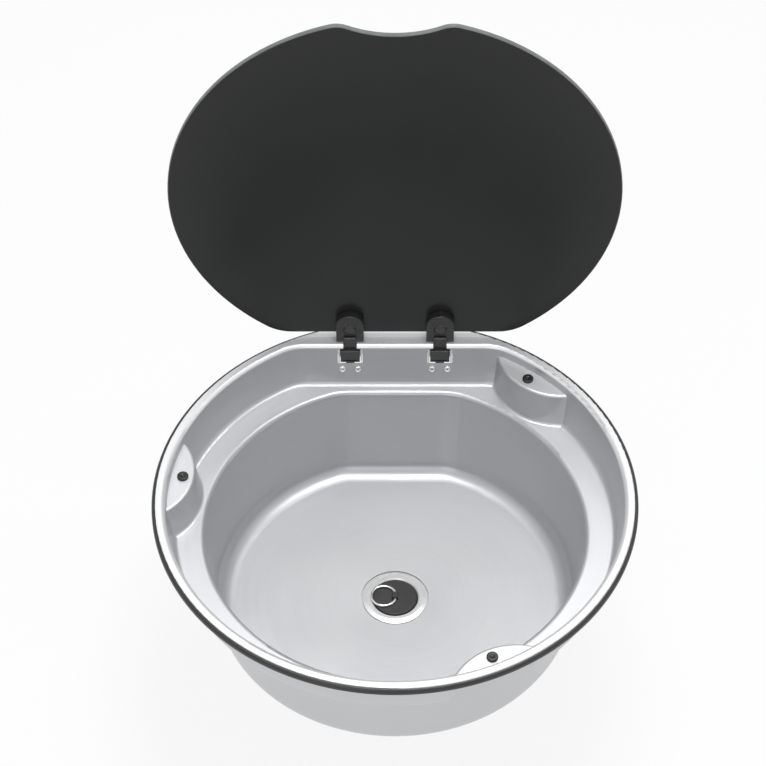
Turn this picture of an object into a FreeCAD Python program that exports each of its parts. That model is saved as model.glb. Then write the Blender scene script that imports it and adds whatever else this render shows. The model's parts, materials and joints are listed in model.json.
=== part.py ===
import FreeCAD, Part
import math
import os

from FreeCAD import Vector

# Round drop-in sink with a hinged glass lid, shown with the lid standing open.
# Millimetres. Z is up, Y points to the hinges, X to the right of someone at the front.
# The origin is the centre of the seat: the underside of the rim seal, on the worktop.

# ---- pressed basin ----
sheet = 0.8                 # stainless sheet
flange_radius = 210.0       # outer edge of the flange
flange_top = 6.5            # flange above the worktop
hem_depth = 2.6             # flange edge turned down
hem_round = 1.2
rim_land = 8.5              # flange edge to the wall of the lid recess
recess_flat_inset = 23.0    # straight back wall of the recess inside the round one
recess_corner = 40.0
recess_draft = 5.5          # how much the recess wall draws in down to the ledge
ledge_drop = 45.0           # flange top to ledge
ledge_width = 27.2          # foot of the recess wall to the bowl lip
bowl_flat_inset = 8.0       # straight back wall of the bowl inside the round one
bowl_corner = 50.0
bowl_draft = 7.5            # how much the bowl wall draws in down to the floor
floor_drop = 145.0          # flange top to bowl floor
floor_fall = 1.5            # slope of the floor to the waste
floor_level_width = 9.5     # level strip between the back rounding and the slope
flange_round = 4.0          # inside rounding radii of the pressing
ledge_round = 4.5
lip_round = 4.5
floor_round = 16.0

# ---- bosses under the lid ----
boss_angles = {"right": 50.1, "left": 171.7, "front": -64.7}
boss_drop = 10.0            # flange top to the flat top of a boss
boss_depth = 22.0           # recess wall, at the flange, to the front of a boss
boss_radius = 58.0          # the arc that shapes a boss, at its top
boss_draft = 3.4            # how much it swells down to the ledge
boss_round = 2.6            # rounding along its top
boss_flare = 3.2            # rounding at its foot
flare_dip = 0.03            # the foot runs out this far under the ledge

# ---- rubber bumpers on the bosses ----
bumper_inset = 11.7         # bumper from the recess wall
bumper_radius = 5.0
bumper_height = 2.6
bumper_dimple_radius = 1.6
bumper_dimple_depth = 0.7
bumper_stem_radius = 2.0
bumper_stem_length = 4.0
bumper_barb_radius = 3.2
bumper_round = 1.0
stem_gap = 0.15

# ---- rim seal ----
seal_inner_gap = 0.7        # seal from the rounding under the flange
seal_wall = 3.0             # rubber outside the flange edge
seal_top_step = 1.0         # seal bead below the flange top
seal_gap = 0.3
seal_lip = 0.3              # flat left on the bead beside the flange edge

# ---- glass lid ----
glass_thick = 5.0
glass_gap = 2.2             # closed glass to the recess wall
glass_back_gap = 10.5       # straight hinge edge of the closed glass to the back wall
glass_corner = 40.0
notch_depth = 16.6          # finger notch in from the round edge
notch_radius = 102.0
notch_peak = 22.0
glass_edge = 0.7            # ground edge of the glass
lid_rest_gap = 0.3          # glass above the bumpers when the lid is shut

# ---- hinges ----
hinge_x = 41.5              # each side of the middle
pivot_behind = 7.4          # hinge axis behind the recess wall
pivot_drop = 12.8           # flange top to hinge axis
pin_radius = 2.5
pin_head_radius = 4.0
pin_head_thick = 1.4
pin_tail = 2.2              # pin beyond the cheek, for the clip
clip_thick = 0.7
clip_radius = 3.9
clip_groove = 0.5
pin_fit = 0.05
hub_radius = 9.0
hub_half = 8.9
washer_thick = 0.6
washer_gap = 0.05
washer_radius = 6.0
cheek_thick = 1.5
cheek_proud = 0.3           # cheek edges in front of the wall
cheek_reach = 7.4           # cheeks behind the pin
cheek_foot_depth = 4.5      # cheeks behind the wall at their lower end
foot_thick = 1.5
foot_below_screw = 12.0
block_front = 9.0           # black block on the hub, forward of the pin
block_above = 7.0
block_below = 7.4
block_round = 1.0
groove_half = 6.5           # groove across the front of the block
groove_low = 4.2
groove_high = 5.5
groove_depth = 1.5
tooth_half = 4.0            # tooth under the block, which stops on the foot of the bracket
tooth_thick = 2.6
tooth_overlap = 2.0         # tooth below the top of the foot
stop_gap = 0.15
window_above_hub = 0.4
window_below_pivot = 7.8
window_side_gap = 0.4
window_round = 1.0
slot_behind = 5.1           # slot in the rim, that the hinge neck swings out of, behind the wall
slot_side_gap = 0.9
neck_half = 5.4
neck_gap = 0.9              # neck in front of the slot
neck_thick = 2.6
neck_round = 1.2
shelf_over_glass = 0.2      # underside of the shelf above the edge of the glass
tang_length = 21.8          # tang above the edge of the glass
screw_below_window = 5.6
screw_cheek_gap = 0.7
bracket_screw_radius = 1.75
bracket_screw_head = 3.2
bracket_screw_head_height = 2.2
bracket_screw_round = 1.0
bracket_screw_length = 6.0
screw_hole_gap = 0.2
cross_width = 1.1
cross_length = 4.2
cross_depth = 1.2

# ---- clamps on the glass ----
clamp_half = 12.7
clamp_below = 3.8           # clamp below the edge of the glass
clamp_above = 28.5
clamp_arch = 10.0           # height of the arch over its springing
clamp_thick = 7.7
clamp_round = 1.0
clamp_clear = 0.3
pad_thick = 1.0
pad_above = 1.7             # pads start above the edge of the glass
pad_inset = 1.2
back_above = 0.7            # plate behind the glass starts above its edge
back_thick = 3.6
bolt_above = 11.8           # clamp bolt above the edge of the glass
bolt_radius = 2.5
bolt_head_radius = 5.6
bolt_head_height = 2.4
bolt_head_round = 1.4
bolt_gap = 0.1
bolt_recess = 1.6
bush_radius = 4.0
bush_gap = 0.1
insert_radius = 4.2
insert_depth = 2.6

# ---- waste ----
throat_radius = 21.0        # bore of the waste
throat_wall = 1.2
throat_depth = 12.0
drain_rim_width = 7.4       # rim in the floor, outside the throat
drain_rim_edge = 0.8
drain_rim_rise = 1.8
drain_bevel = 4.0           # width of the sloping edge of the rim
seat_drop = 1.8             # shallow seat pressed in the floor
seat_gap = 1.4
drain_hole_gap = 2.3        # hole in the floor round the throat
strainer_thick = 1.5
strainer_holes = 8
strainer_hole_radius = 3.0
strainer_hole_place = 13.5
upper_gasket_thick = 0.6
lower_gasket_thick = 1.5
gasket_inset = 0.6
cup_gap = 3.4               # cup under the floor, round the throat
cup_wall = 2.4
cup_depth = 30.0
cup_collar_width = 4.0
cup_collar_thick = 3.0
spigot_radius = 15.0
spigot_length = 14.0
centre_screw_radius = 3.0
centre_screw_head = 5.6
centre_screw_head_height = 2.2
hub_boss_radius = 6.5
hub_boss_length = 9.6
web_thick = 2.4
nut_sides = 10
nut_wall = 5.7              # at the corners
nut_height = 13.0
nut_gap = 0.3
nut_lip = 3.2               # floor of the nut below the elbow's collar
elbow_bore = 10.0
elbow_wall = 2.5
elbow_collar = 1.6
elbow_neck = 1.6            # straight run between the collar and the bend
elbow_bend = 22.0
tail_length = 30.0
tail_chamfer = 1.0
washer_seal_thick = 2.0

# ---- plug ----
plug_side_gap = 0.8
plug_gap = 0.3              # plug above the centre screw
plug_thick = 4.6
plug_top_rise = 0.2         # plug above the top of the waste rim
seal_side_gap = 0.3         # seal lips inside the throat
seal_lips = 3
seal_groove = 0.5
seal_thick = 4.7            # sleeve round the core, out to its lips
plug_round = 0.8
lug_half_x = 2.6
lug_half_y = 3.4
lug_height = 3.6
lug_round = 0.8
ring_radius = 11.3          # middle of the wire
ring_centre = 10.3          # middle of the ring from its pivot
ring_wire = 1.1
ring_rest_gap = 0.3
ring_pin_reach = 1.8        # ring ends inside the lug
ring_fit = 0.05

# worked out from the sizes above
recess_radius = flange_radius - rim_land
recess_flat_y = recess_radius - recess_flat_inset
bowl_radius = recess_radius - recess_draft - ledge_width
bowl_flat_y = bowl_radius - bowl_flat_inset
floor_cone_radius = bowl_flat_y - bowl_draft - floor_round - floor_level_width
ledge_z = flange_top - ledge_drop
floor_z = flange_top - floor_drop
draft_slope = recess_draft / ledge_drop
draft_angle = math.degrees(math.atan(draft_slope))
wall_back = sheet / math.cos(math.radians(draft_angle))

boss_z = flange_top - boss_drop
boss_centre = recess_radius - boss_depth + boss_radius
boss_lean = math.atan(boss_draft / (ledge_drop - boss_drop))
bumper_place = recess_radius - bumper_inset
bumper_top = boss_z + bumper_height
seal_inner_radius = recess_radius + flange_round + seal_inner_gap
seal_outer_radius = flange_radius + seal_wall
seal_round = seal_wall - seal_gap - seal_lip

pivot_y = recess_flat_y + pivot_behind
pivot_z = flange_top - pivot_drop
glass_radius = recess_radius - glass_gap
glass_flat = recess_flat_y - glass_back_gap
glass_front = pivot_y + (bumper_top + lid_rest_gap - pivot_z)
glass_edge_up = pivot_y - glass_flat
glass_low = pivot_z + glass_edge_up
slot_half = neck_half + slot_side_gap
slot_back_y = recess_flat_y + slot_behind
window_top_drop = pivot_drop - hub_radius - window_above_hub
window_bottom_drop = pivot_drop + window_below_pivot
cheek_in = hub_half + washer_thick + 2 * washer_gap
cheek_out = cheek_in + cheek_thick
window_half = cheek_out + window_side_gap
bracket_screw_x = cheek_in - screw_cheek_gap - bracket_screw_radius
bracket_screw_drop = window_bottom_drop + screw_below_window
foot_drop = bracket_screw_drop + foot_below_screw
foot_top_drop = window_bottom_drop + foot_thick
tooth_reach = foot_top_drop + tooth_overlap - pivot_drop
shelf_low = glass_edge_up + shelf_over_glass
tang_top = glass_edge_up + tang_length
clamp_low = glass_edge_up - clamp_below
clamp_high = glass_edge_up + clamp_above
clamp_front = pivot_y - glass_front + pad_thick + clamp_thick
pad_low = glass_edge_up + pad_above
back_low = glass_edge_up + back_above
bolt_up = glass_edge_up + bolt_above

throat_outer = throat_radius + throat_wall
drain_rim_radius = throat_outer + drain_rim_width
drain_hole_radius = throat_outer + drain_hole_gap
seat_radius = drain_rim_radius + seat_gap
gasket_radius = drain_rim_radius - gasket_inset
cup_inner = throat_outer + cup_gap
cup_radius = cup_inner + cup_wall
cup_collar_radius = cup_radius + cup_collar_width
spigot_bore = spigot_radius - cup_wall
nut_outer = spigot_radius + nut_gap + nut_wall
plug_radius = throat_radius - plug_side_gap
plug_seal_radius = throat_radius - seal_side_gap
plug_core_radius = plug_seal_radius - seal_thick

# heights of the waste, from the floor down, and of the plug
seat_z = floor_z - floor_fall - seat_drop
drain_z = seat_z + upper_gasket_thick
strainer_z = drain_z - throat_depth
screw_top = strainer_z + strainer_thick + centre_screw_head_height
cup_top = seat_z - sheet - lower_gasket_thick
cup_low = cup_top - cup_depth
hub_top = strainer_z - web_thick
hub_low = hub_top - hub_boss_length
spigot_low = cup_low - spigot_length
collar_top = spigot_low - washer_seal_thick
collar_low = collar_top - elbow_collar
turn_z = collar_low - elbow_neck
tail_z = turn_z - elbow_bend
tail_end = elbow_bend + tail_length
plug_top = drain_z + drain_rim_rise + plug_top_rise
plug_under = screw_top + plug_gap
ring_z = plug_top + ring_rest_gap + ring_wire

half_turn = 180.0           # degrees
over = 5.0                  # how far cutting tools run past what they cut

shapes = {}


def cylinder(radius, height, x=0.0, y=0.0, z=0.0, along=Vector(0, 0, 1)):
    return Part.makeCylinder(radius, height, Vector(x, y, z), along)


def cone(low, high, height, z=0.0):
    return Part.makeCone(low, high, height, Vector(0, 0, z))


def box(x0, x1, y0, y1, z0, z1):
    return Part.makeBox(x1 - x0, y1 - y0, z1 - z0, Vector(x0, y0, z0))


def revolve(points):
    """Solid turned about Z from (radius, height) points."""
    wire = Part.makePolygon([Vector(r, 0, z) for r, z in points + points[:1]])
    return Part.Face(wire).revolve(Vector(0, 0, 0), Vector(0, 0, 1), 2 * half_turn)


def prism_x(points, x0, x1):
    """Solid along X from (y, z) points."""
    wire = Part.makePolygon([Vector(x0, y, z) for y, z in points + points[:1]])
    return Part.Face(wire).extrude(Vector(x1 - x0, 0, 0))


def edges_where(shape, test):
    return [e for e in shape.Edges if test(e)]


def wall_y(z, behind=0.0):
    """Front face of the straight recess wall at a height, or a plane behind it."""
    return recess_flat_y - draft_slope * (flange_top - z) + behind


# ---- basin ----
def flat_round_wire(radius, flat_y, corner, z):
    """Circle with one straight side at flat_y, joined by tangent corner arcs."""
    inner = radius - corner
    centre_y = flat_y - corner
    centre_x = math.sqrt(inner ** 2 - centre_y ** 2)
    reach = radius / inner
    right = Vector(centre_x * reach, centre_y * reach, z)
    left = Vector(-centre_x * reach, centre_y * reach, z)
    right_flat = Vector(centre_x, flat_y, z)
    left_flat = Vector(-centre_x, flat_y, z)
    half = 0.5 * (0.5 * math.pi + math.atan2(centre_y, centre_x))
    mid_x = centre_x + corner * math.cos(half)
    mid_y = centre_y + corner * math.sin(half)
    low = -math.pi / 4
    side_x = radius * math.cos(low)
    side_y = radius * math.sin(low)
    front = Vector(0, -radius, z)
    edges = [
        Part.Arc(front, Vector(side_x, side_y, z), right).toShape(),
        Part.Arc(right, Vector(mid_x, mid_y, z), right_flat).toShape(),
        Part.makeLine(right_flat, left_flat),
        Part.Arc(left_flat, Vector(-mid_x, mid_y, z), left).toShape(),
        Part.Arc(left, Vector(-side_x, side_y, z), front).toShape(),
    ]
    return Part.Wire(edges)


def drafted_hollow(radius, flat_y, corner, draft, top_z, low_z, clear):
    """Hollow that draws in by draft from top_z to low_z, its corners keeping their centres."""
    upper = flat_round_wire(radius + clear, flat_y + clear, corner + clear, top_z)
    lower = flat_round_wire(radius - draft + clear, flat_y - draft + clear,
                            corner - draft + clear, low_z)
    return Part.makeLoft([upper, lower], True, True)


def boss_form(angle, clear):
    """Turned block that a boss is pressed over, thinner by clear: crest, leaning side, foot."""
    top = boss_z - clear
    low = ledge_z - clear - flare_dip
    crest = boss_round - clear
    foot = boss_flare + clear
    tangent = math.tan(0.5 * (0.5 * math.pi - boss_lean))
    sine = math.sin(boss_lean)
    cosine = math.cos(boss_lean)
    top_corner = boss_radius - clear
    low_corner = top_corner + math.tan(boss_lean) * (top - low)
    crest_middle = Vector(top_corner - crest * tangent, 0, top - crest)
    foot_middle = Vector(low_corner + foot * tangent, 0, low + foot)
    out = 0.5 * (0.5 * math.pi + boss_lean)
    between = Vector(math.cos(out), 0, math.sin(out))
    side = Vector(cosine, 0, sine)
    up = Vector(0, 0, 1)
    end = foot_middle - up * foot
    under = Vector(end.x, 0, low - over)
    axis_low = Vector(0, 0, low - over)
    axis_top = Vector(0, 0, top)
    crest_start = crest_middle + up * crest
    crest_end = crest_middle + side * crest
    foot_start = foot_middle - side * foot
    edges = [
        Part.makeLine(axis_low, under),
        Part.makeLine(under, end),
        Part.Arc(end, foot_middle - between * foot, foot_start).toShape(),
        Part.makeLine(foot_start, crest_end),
        Part.Arc(crest_end, crest_middle + between * crest, crest_start).toShape(),
        Part.makeLine(crest_start, axis_top),
        Part.makeLine(axis_top, axis_low),
    ]
    block = Part.Face(Part.Wire(edges)).revolve(Vector(0, 0, 0), up, 2 * half_turn)
    block.rotate(Vector(0, 0, 0), up, angle)
    turn = math.radians(angle)
    block.translate(Vector(boss_centre * math.cos(turn), boss_centre * math.sin(turn), 0))
    return block


def hollow(clear):
    """Everything above the pressing; clear is how far below the upper face it lies."""
    recess_end = recess_draft * (ledge_drop + clear) / ledge_drop
    recess = drafted_hollow(recess_radius, recess_flat_y, recess_corner, recess_end,
                            flange_top, ledge_z - clear, clear)
    bowl_end = bowl_draft * (floor_drop - ledge_drop + clear) / (floor_drop - ledge_drop)
    bowl_rise = bowl_draft / (floor_drop - ledge_drop)
    bowl = drafted_hollow(bowl_radius + bowl_rise * over, bowl_flat_y + bowl_rise * over,
                          bowl_corner, bowl_end + bowl_rise * over,
                          ledge_z + over, floor_z - clear, clear)
    bowl = round_low_edges(bowl, floor_z - clear, floor_round + clear)
    recess = round_low_edges(recess, ledge_z - clear, ledge_round + clear)
    above = cylinder(flange_radius + over, over + clear, z=flange_top - clear)
    room = above.fuse([recess, bowl]).removeSplitter()
    rim = edges_where(room, lambda e: on_level(e, flange_top - clear)
                      and e.BoundBox.XMax < flange_radius)
    room = room.makeFillet(flange_round - clear, rim)
    lip = edges_where(room, lambda e: on_level(e, ledge_z - clear)
                      and inside_lip(e, clear))
    room = room.makeFillet(lip_round - clear, lip)
    for angle in boss_angles.values():
        room = room.cut(boss_form(angle, clear))
    return room


def on_level(edge, z):
    return abs(edge.BoundBox.ZMin - z) < 1e-4 and abs(edge.BoundBox.ZMax - z) < 1e-4


def inside_lip(edge, clear):
    limit = bowl_radius + clear + 0.5 * lip_round
    return max(math.hypot(v.X, v.Y) for v in edge.Vertexes) < limit


def round_low_edges(shape, z, radius):
    return shape.makeFillet(radius, edges_where(shape, lambda e: on_level(e, z)))


def floor_slope(clear):
    """Shallow cone that lets the floor run to the waste seat."""
    slope_low = floor_z - floor_fall
    slope = cone(seat_radius + clear, floor_cone_radius + clear, floor_fall, slope_low - clear)
    seat = cylinder(seat_radius + clear, seat_drop + floor_fall, z=seat_z - clear)
    return slope.fuse(seat)


def hem():
    """Edge of the flange, turned down."""
    inner = flange_radius - sheet
    return revolve([
        (inner, flange_top - hem_depth),
        (flange_radius, flange_top - hem_depth),
        (flange_radius, flange_top - sheet),
        (inner, flange_top - sheet),
    ])


def hinge_window(x):
    """Opening in the straight wall for one hinge, with the slot in the rim above it."""
    top = flange_top - window_top_drop
    low = flange_top - window_bottom_drop
    front = wall_y(low) - over
    back = recess_flat_y + over
    window = box(x - window_half, x + window_half, front, back, low, top)
    upright = edges_where(window, lambda e: e.BoundBox.YLength > over)
    window = window.makeFillet(window_round, upright)
    slot = box(x - slot_half, x + slot_half, front, slot_back_y, top - over, flange_top + over)
    corners = edges_where(slot, lambda e: e.BoundBox.ZLength > over and e.BoundBox.YMin > front)
    slot = slot.makeFillet(window_round, corners)
    return window.fuse(slot)


def normal_to_wall(shape, z):
    """Turn a shape made along Y so that it stands square to the drafted wall at height z."""
    shape.rotate(Vector(0, wall_y(z), z), Vector(1, 0, 0), -draft_angle)
    return shape


def bracket_screw_places(x):
    z = flange_top - bracket_screw_drop
    return [(x + side * bracket_screw_x, z) for side in (-1, 1)]


def screw_holes(x, radius, reach):
    holes = []
    for sx, z in bracket_screw_places(x):
        hole = cylinder(radius, reach + over, sx, wall_y(z) - over, z, Vector(0, 1, 0))
        holes.append(normal_to_wall(hole, z))
    return holes


def make_basin():
    under = cylinder(flange_radius, floor_drop + over, z=floor_z - over)
    metal = under.common(hollow(sheet).fuse(floor_slope(sheet)))
    metal = metal.fuse(hem()).removeSplitter()
    edge = edges_where(metal, lambda e: on_level(e, flange_top))
    metal = metal.makeFillet(hem_round, edge)
    cuts = [hollow(0.0), floor_slope(0.0)]
    cuts.append(cylinder(drain_hole_radius, 4 * over, z=floor_z - 3 * over))
    for side in (-1, 1):
        cuts.append(hinge_window(side * hinge_x))
        cuts += screw_holes(side * hinge_x, bracket_screw_radius + screw_hole_gap, over)
    for angle in boss_angles.values():
        x, y = bumper_spot(angle)
        cuts.append(cylinder(bumper_stem_radius + stem_gap, 2 * over, x, y, boss_z - over))
    for tool in cuts:
        metal = metal.cut(tool)
    return metal


def bumper_spot(angle):
    turn = math.radians(angle)
    return bumper_place * math.cos(turn), bumper_place * math.sin(turn)


# ---- seal and bumpers ----
def make_rim_seal():
    under = flange_top - sheet
    hem_low = flange_top - hem_depth - seal_gap
    hem_inner = flange_radius - sheet - seal_gap
    hem_outer = flange_radius + seal_gap
    profile = [
        (seal_inner_radius, 0),
        (seal_outer_radius, 0),
        (seal_outer_radius, flange_top - seal_top_step),
        (hem_outer, flange_top - seal_top_step),
        (hem_outer, hem_low),
        (hem_inner, hem_low),
        (hem_inner, under),
        (seal_inner_radius, under),
    ]
    seal = revolve(profile)
    crown = edges_where(seal, lambda e: on_level(e, flange_top - seal_top_step)
                        and e.Curve.Radius > flange_radius + 1)
    return seal.makeFillet(seal_round, crown)


def make_bumper(angle):
    """Push-in rubber button: round head, stem through the sheet, barb below."""
    barb_top = boss_z - sheet - stem_gap
    barb_low = boss_z - bumper_stem_length
    head = cylinder(bumper_radius, bumper_height, z=boss_z)
    crown = edges_where(head, lambda e: on_level(e, bumper_top))
    head = head.makeFillet(bumper_round, crown)
    stem = cylinder(bumper_stem_radius, boss_z - barb_low, z=barb_low)
    barb = cone(bumper_stem_radius, bumper_barb_radius, barb_top - barb_low, barb_low)
    dimple = cylinder(bumper_dimple_radius, over, z=bumper_top - bumper_dimple_depth)
    bumper = head.fuse([stem, barb]).cut(dimple)
    x, y = bumper_spot(angle)
    bumper.translate(Vector(x, y, 0))
    return bumper


# ---- glass lid, standing open ----
def circle_arc(centre_x, centre_z, radius, start, end):
    """Arc in the plane of the open lid, between two angles in degrees."""
    points = []
    for angle in (start, 0.5 * (start + end), end):
        turn = math.radians(angle)
        points.append(Vector(centre_x + radius * math.cos(turn), 0,
                             centre_z + radius * math.sin(turn)))
    return Part.Arc(*points).toShape()


def make_lid_glass():
    """Round pane with a straight hinge edge and a finger notch opposite."""
    middle = glass_low + glass_flat
    inner = glass_radius - glass_corner
    corner_z = glass_low + glass_corner
    corner_x = math.sqrt(inner ** 2 - (middle - corner_z) ** 2)
    corner_end = math.degrees(math.atan2(corner_z - middle, corner_x))
    notch_z = middle + glass_radius - notch_depth + notch_radius
    apart = notch_z - middle
    to_middle = glass_radius - notch_peak
    to_notch = notch_radius + notch_peak
    along = (to_middle ** 2 - to_notch ** 2 + apart ** 2) / (2 * apart)
    peak_x = math.sqrt(to_middle ** 2 - along ** 2)
    peak_z = middle + along
    peak_start = math.degrees(math.atan2(along, peak_x))
    peak_end = math.degrees(math.atan2(notch_z - peak_z, -peak_x))
    notch_from = peak_end + half_turn
    notch_to = 3 * half_turn - notch_from
    edges = [
        Part.makeLine(Vector(-corner_x, 0, glass_low), Vector(corner_x, 0, glass_low)),
        circle_arc(corner_x, corner_z, glass_corner, -0.5 * half_turn, corner_end),
        circle_arc(0, middle, glass_radius, corner_end, peak_start),
        circle_arc(peak_x, peak_z, notch_peak, peak_start, peak_end),
        circle_arc(0, notch_z, notch_radius, notch_from, notch_to),
        circle_arc(-peak_x, peak_z, notch_peak, half_turn - peak_end, half_turn - peak_start),
        circle_arc(0, middle, glass_radius, half_turn - peak_start, half_turn - corner_end),
        circle_arc(-corner_x, corner_z, glass_corner, half_turn - corner_end, 1.5 * half_turn),
    ]
    outline = Part.Wire(Part.__sortEdges__(edges))
    pane = Part.Face(outline).extrude(Vector(0, glass_thick, 0))
    pane.translate(Vector(0, glass_front, 0))
    rims = edges_where(pane, lambda e: e.BoundBox.YLength < 1e-6)
    pane = pane.makeChamfer(glass_edge, rims)
    for side in (-1, 1):
        hole = cylinder(bush_radius + bush_gap, glass_thick + 2 * over,
                        side * hinge_x, glass_front - over, pivot_z + bolt_up, Vector(0, 1, 0))
        pane = pane.cut(hole)
    return pane


# ---- hinges: forward is towards the front of the sink, up is above the hinge axis ----
def at_pivot(points):
    """(forward, up) from the hinge axis to (y, z)."""
    return [(pivot_y - forward, pivot_z + up) for forward, up in points]


def across(x, half, points):
    return prism_x(at_pivot(points), x - half, x + half)


def lengthwise(radius, start, end, x, forward=0.0, up=0.0):
    """Cylinder along X between two distances from the middle of the hinge."""
    return cylinder(radius, end - start, x + start, pivot_y - forward, pivot_z + up,
                    Vector(1, 0, 0))


def make_bracket(x):
    """Foot behind the wall, which the tooth stops on, and cheeks at the window's sides."""
    foot_z = flange_top - foot_drop
    foot_top = flange_top - foot_top_drop
    step_z = flange_top - window_bottom_drop + window_side_gap
    crown_z = flange_top - window_top_drop - window_side_gap
    rear = pivot_y + cheek_reach
    foot = prism_x([
        (wall_y(foot_z, wall_back), foot_z),
        (wall_y(foot_top, wall_back), foot_top),
        (wall_y(foot_top, wall_back + foot_thick), foot_top),
        (wall_y(foot_z, wall_back + foot_thick), foot_z),
    ], x - cheek_out, x + cheek_out)
    profile = [
        (wall_y(foot_z, wall_back), foot_z),
        (wall_y(step_z, wall_back), step_z),
        (wall_y(step_z, -cheek_proud), step_z),
        (wall_y(crown_z, -cheek_proud), crown_z),
        (rear, crown_z),
        (rear, pivot_z - hub_radius),
        (wall_y(foot_z, wall_back + cheek_foot_depth), foot_z),
    ]
    cheeks = [
        prism_x(profile, x - cheek_out, x - cheek_in),
        prism_x(profile, x + cheek_in, x + cheek_out),
    ]
    bracket = foot.fuse(cheeks).removeSplitter()
    bracket = bracket.cut(lengthwise(pin_radius, -cheek_out - over, cheek_out + over, x))
    for hole in screw_holes(x, bracket_screw_radius, 2 * over):
        bracket = bracket.cut(hole)
    return bracket


def make_bracket_screws(x):
    """Two pan-head screws with a cross recess, square to the drafted wall."""
    screws = []
    for sx, z in bracket_screw_places(x):
        face = wall_y(z)
        shank = cylinder(bracket_screw_radius, bracket_screw_length, sx, face, z, Vector(0, 1, 0))
        head = cylinder(bracket_screw_head, bracket_screw_head_height, sx,
                        face - bracket_screw_head_height, z, Vector(0, 1, 0))
        crown = edges_where(head, lambda e: e.BoundBox.YMax < face - 1)
        head = head.makeFillet(bracket_screw_round, crown)
        front = face - bracket_screw_head_height
        half = 0.5 * cross_width
        arm = 0.5 * cross_length
        slots = [
            box(sx - arm, sx + arm, front - over, front + cross_depth, z - half, z + half),
            box(sx - half, sx + half, front - over, front + cross_depth, z - arm, z + arm),
        ]
        screw = shank.fuse(head).cut(slots[0]).cut(slots[1])
        screws.append(normal_to_wall(screw, z))
    return Part.makeCompound(screws)


def make_pin(x, side):
    """Headed pin, its head on the outer side, grooved for a clip at the other end."""
    tail = cheek_out + pin_tail
    pin = lengthwise(pin_radius, -tail, cheek_out + pin_head_thick, 0)
    head = lengthwise(pin_head_radius, cheek_out, cheek_out + pin_head_thick, 0)
    groove = lengthwise(pin_radius + over, -cheek_out - clip_thick - pin_fit, -cheek_out - pin_fit, 0)
    core = lengthwise(pin_radius - clip_groove, -tail - over, over, 0)
    pin = pin.fuse(head).cut(groove.cut(core))
    return placed_on_side(pin, x, side)


def placed_on_side(shape, x, side):
    """Turn a shape modelled for the right hinge round for the left one, then move it there."""
    if side < 0:
        shape = shape.mirror(Vector(0, 0, 0), Vector(1, 0, 0))
    shape.translate(Vector(x, 0, 0))
    return shape


def make_clip(x, side):
    """Open clip in the groove of the pin."""
    start = -cheek_out - clip_thick - 0.5 * pin_fit
    clip = lengthwise(clip_radius, start, start + clip_thick - pin_fit, 0)
    clip = clip.cut(lengthwise(pin_radius - clip_groove, start - over, start + over, 0))
    mouth = pin_radius - clip_groove
    gap = box(start - over, start + over, pivot_y - mouth, pivot_y + mouth,
              pivot_z - clip_radius - over, pivot_z)
    return placed_on_side(clip.cut(gap), x, side)


def make_friction_washers(x):
    washers = []
    for start in (-cheek_in + washer_gap, hub_half + washer_gap):
        disc = lengthwise(washer_radius, start, start + washer_thick, x)
        washers.append(disc.cut(lengthwise(pin_radius + pin_fit, start - over, start + over, x)))
    return Part.makeCompound(washers)


def make_arm(x):
    """Hub with a block and a tooth, neck through the rim slot, shelf and tang on the glass."""
    neck_back = pivot_y - slot_back_y + neck_gap
    neck_front = neck_back + neck_thick
    shelf_top = shelf_low + neck_thick
    pad_face = pivot_y - glass_front + pad_thick
    hub = lengthwise(hub_radius, -hub_half, hub_half, x)
    strap = across(x, neck_half, [
        (neck_back, 0),
        (neck_front, 0),
        (neck_front, shelf_top),
        (pad_face + neck_thick, shelf_top),
        (pad_face + neck_thick, tang_top),
        (pad_face, tang_top),
        (pad_face, shelf_low),
        (neck_back, shelf_low),
    ])
    bend = edges_where(strap, lambda e: e.BoundBox.XLength > neck_half
                       and e.BoundBox.YMax < pivot_y - neck_front + 1e-4
                       and e.BoundBox.ZMin > pivot_z + shelf_low)
    strap = strap.makeFillet(neck_round, bend)
    block = across(x, hub_half, [
        (0, -block_below),
        (block_front, -block_below),
        (block_front, block_above),
        (0, block_above),
    ])
    nose = edges_where(block, lambda e: e.BoundBox.XLength > hub_half
                       and e.BoundBox.YMax < pivot_y - block_front + 1e-4)
    block = block.makeFillet(block_round, nose)
    groove = across(x, groove_half, [
        (block_front - groove_depth, -groove_high),
        (block_front + over, -groove_high),
        (block_front + over, -groove_low),
        (block_front - groove_depth, -groove_low),
    ])
    foot_rear = wall_y(flange_top - foot_top_drop, wall_back + foot_thick)
    tooth_front = pivot_y - foot_rear - stop_gap
    tooth = across(x, tooth_half, [
        (tooth_front, 0),
        (tooth_front, -tooth_reach),
        (tooth_front - tooth_thick, -tooth_reach),
        (tooth_front - tooth_thick, 0),
    ])
    arm = hub.fuse([strap, block.cut(groove), tooth]).removeSplitter()
    arm = arm.cut(lengthwise(pin_radius + pin_fit, -hub_half - over, hub_half + over, x))
    return arm.cut(bolt_hole(x, bolt_radius + bolt_gap))


def bolt_hole(x, radius):
    return cylinder(radius, 8 * over, x, pivot_y - 4 * over, pivot_z + bolt_up, Vector(0, 1, 0))


def bolt_piece(radius, forward_front, forward_back, x):
    """Cylinder on the clamp bolt's axis between two distances forward of the hinge axis."""
    return cylinder(radius, forward_front - forward_back, x, pivot_y - forward_front,
                    pivot_z + bolt_up, Vector(0, 1, 0))


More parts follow.
